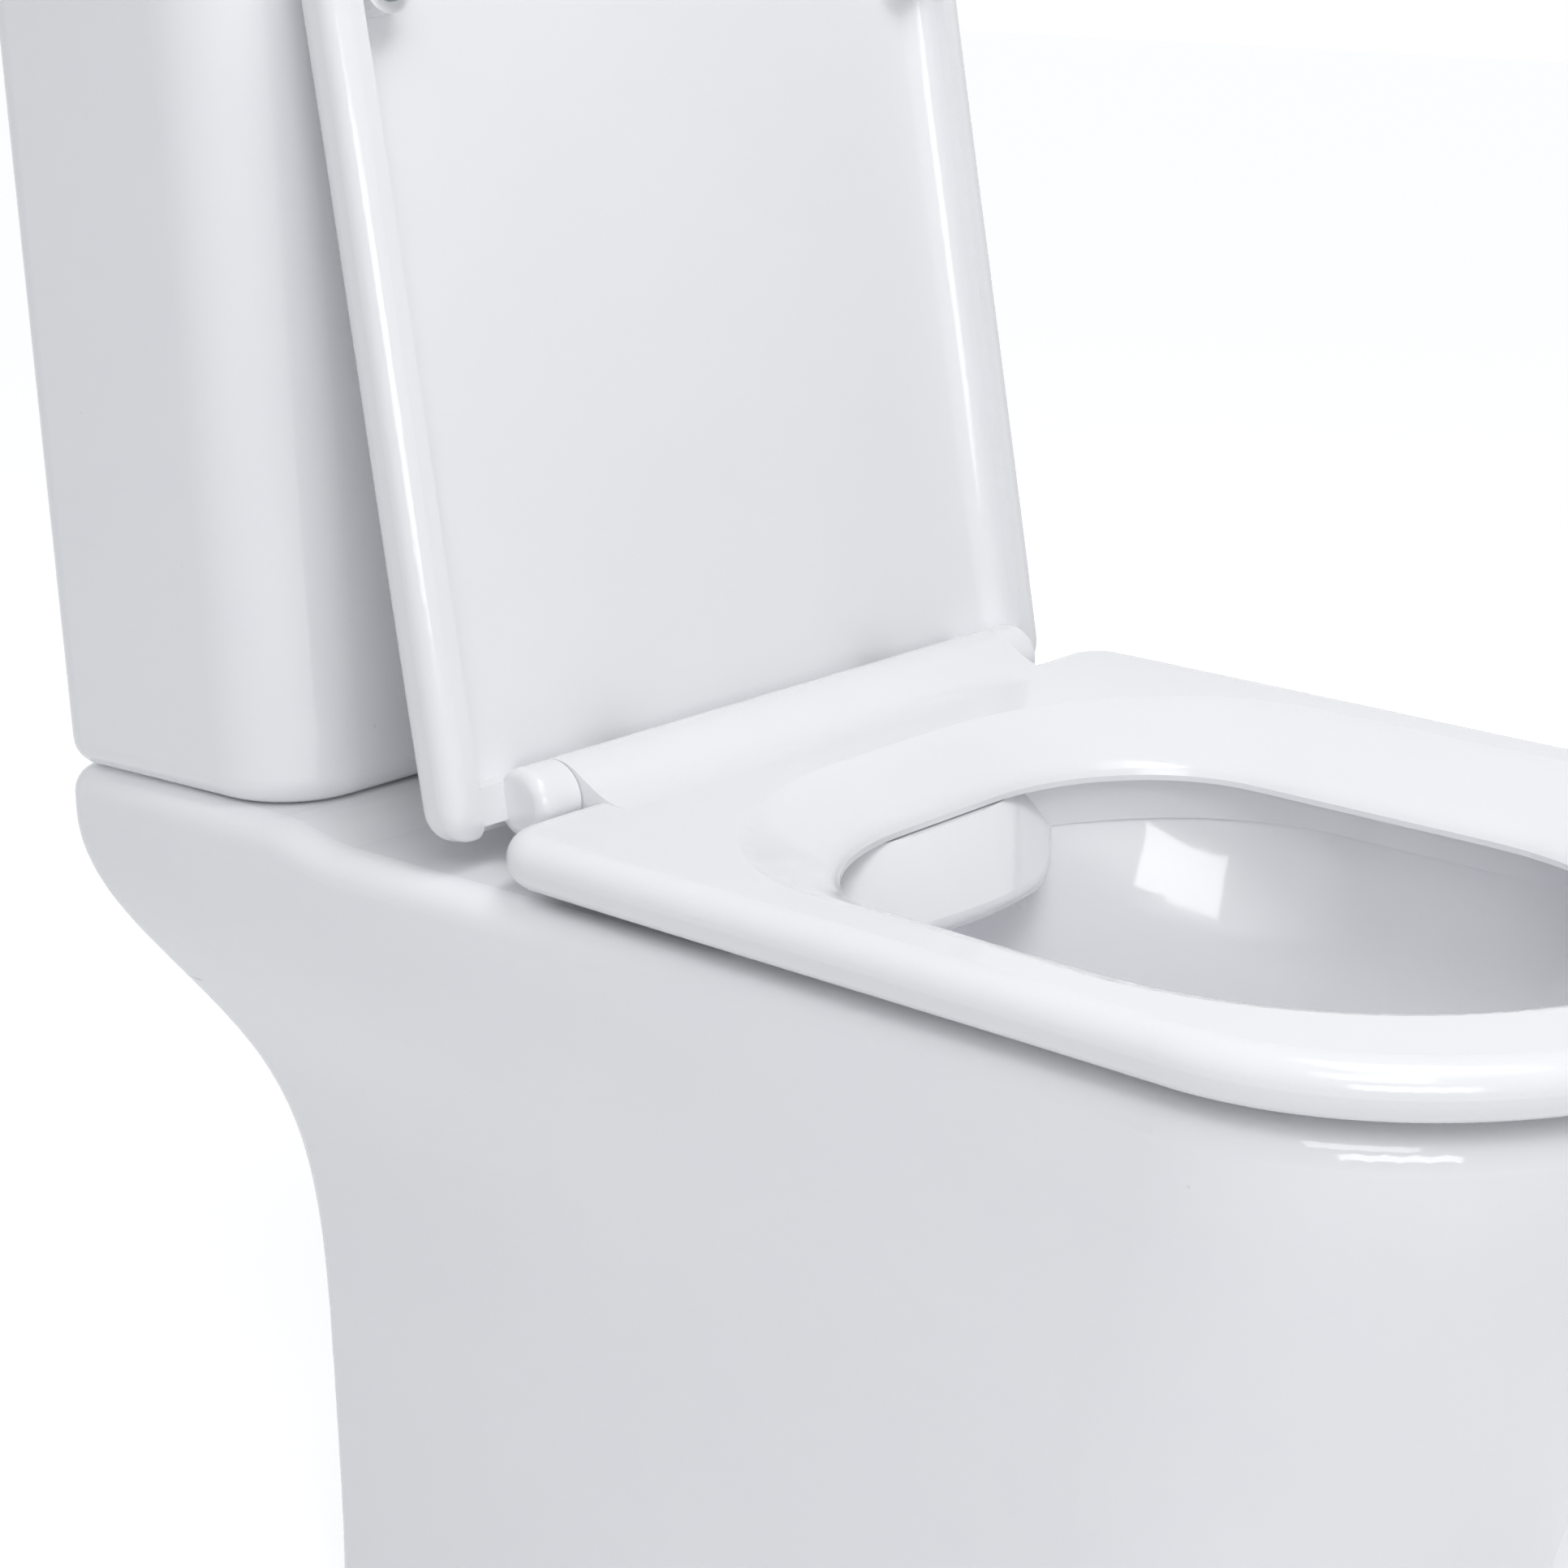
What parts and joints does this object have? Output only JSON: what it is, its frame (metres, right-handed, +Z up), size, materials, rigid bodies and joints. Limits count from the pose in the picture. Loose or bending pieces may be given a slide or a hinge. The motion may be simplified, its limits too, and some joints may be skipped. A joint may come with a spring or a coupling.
{
  "type": "close coupled toilet",
  "caption": "Floor-standing rimless toilet with a coupled cistern, a hinged soft-close seat and lid, push-button flush, fill valve and flush valve.",
  "frame": {"origin": "centre of the bounding box on the floor plane", "axes": "+Z up, front of the toilet towards -Y, wall side towards +Y, +X to the right seen from the front"},
  "size_m": [0.4042, 0.657, 0.8452],
  "materials": {
    "china": "high-gloss white glaze",
    "seat_white": "high-gloss white duroplast",
    "chrome": "polished",
    "spring_steel": "bright",
    "white_plastic": "satin",
    "blue_plastic": "satin",
    "grey_plastic": "satin",
    "grey_rubber": "matt",
    "white_rubber": "matt",
    "black_rubber": "matt",
    "steel": "zinc plated"
  },
  "bodies": {
    "pan_and_cistern": {"pan": "china", "cistern": "china", "flush_valve_body": "white_plastic", "coupling_nut": "white_plastic", "coupling_gasket": "black_rubber", "fill_valve_body": "white_plastic", "fill_nut": "white_plastic", "hinge_posts": "chrome", "damper_pins": "grey_plastic", "seat_bolts": "steel", "seat_washers": "black_rubber", "seat_nuts": "white_plastic", "tank_bolts": "steel", "tank_cones": "black_rubber", "tank_washers": "black_rubber", "tank_nuts": "steel", "floor_brackets": "steel", "floor_screws": "steel"},
    "seat": {"seat_ring": "seat_white", "seat_bumpers": "white_rubber"},
    "lid": {"seat_lid": "seat_white", "lid_bumpers": "grey_rubber"},
    "cistern_cover": {"cistern_lid": "china", "button_housing": "chrome", "spring_full": "spring_steel", "spring_half": "spring_steel"},
    "full_button": {"button_full": "chrome"},
    "half_button": {"button_half": "chrome"},
    "overflow": {"overflow_tube": "blue_plastic", "flush_seal": "grey_rubber"},
    "float": {"float_cup": "blue_plastic"}
  },
  "joints": [
    {"name": "seat_hinge", "type": "hinge", "parent": "pan_and_cistern", "child": "seat", "pos_m": [0, 0.1075, 0.4233], "axis": [-1, 0, 0], "range_deg": [0, 100.3]},
    {"name": "lid_hinge", "type": "hinge", "parent": "pan_and_cistern", "child": "lid", "pos_m": [0, 0.1075, 0.4233], "axis": [-1, 0, 0], "range_deg": [-100.3, 0]},
    {"name": "cistern_cover_lift", "type": "slide", "parent": "pan_and_cistern", "child": "cistern_cover", "axis": [0, 0.1822, 0.9833], "range_m": [0, 0.06]},
    {"name": "full_button_press", "type": "slide", "parent": "cistern_cover", "child": "full_button", "axis": [0, 0, -1], "range_m": [0, 0.007], "stiffness_N_per_m": 900, "springref_m": -0.004, "deforming": ["spring_full"]},
    {"name": "half_button_press", "type": "slide", "parent": "cistern_cover", "child": "half_button", "axis": [0, 0, -1], "range_m": [0, 0.007], "stiffness_N_per_m": 500, "springref_m": -0.003, "deforming": ["spring_half"]},
    {"name": "overflow_lift", "type": "slide", "parent": "pan_and_cistern", "child": "overflow", "axis": [0, 0, 1], "range_m": [0, 0.0196]},
    {"name": "float_rise", "type": "slide", "parent": "pan_and_cistern", "child": "float", "axis": [0, 0, 1], "range_m": [0, 0.014]}
  ],
  "couplings": [
    {"joint": "overflow_lift", "follows": "full_button_press", "ratio": 2.8}
  ]
}
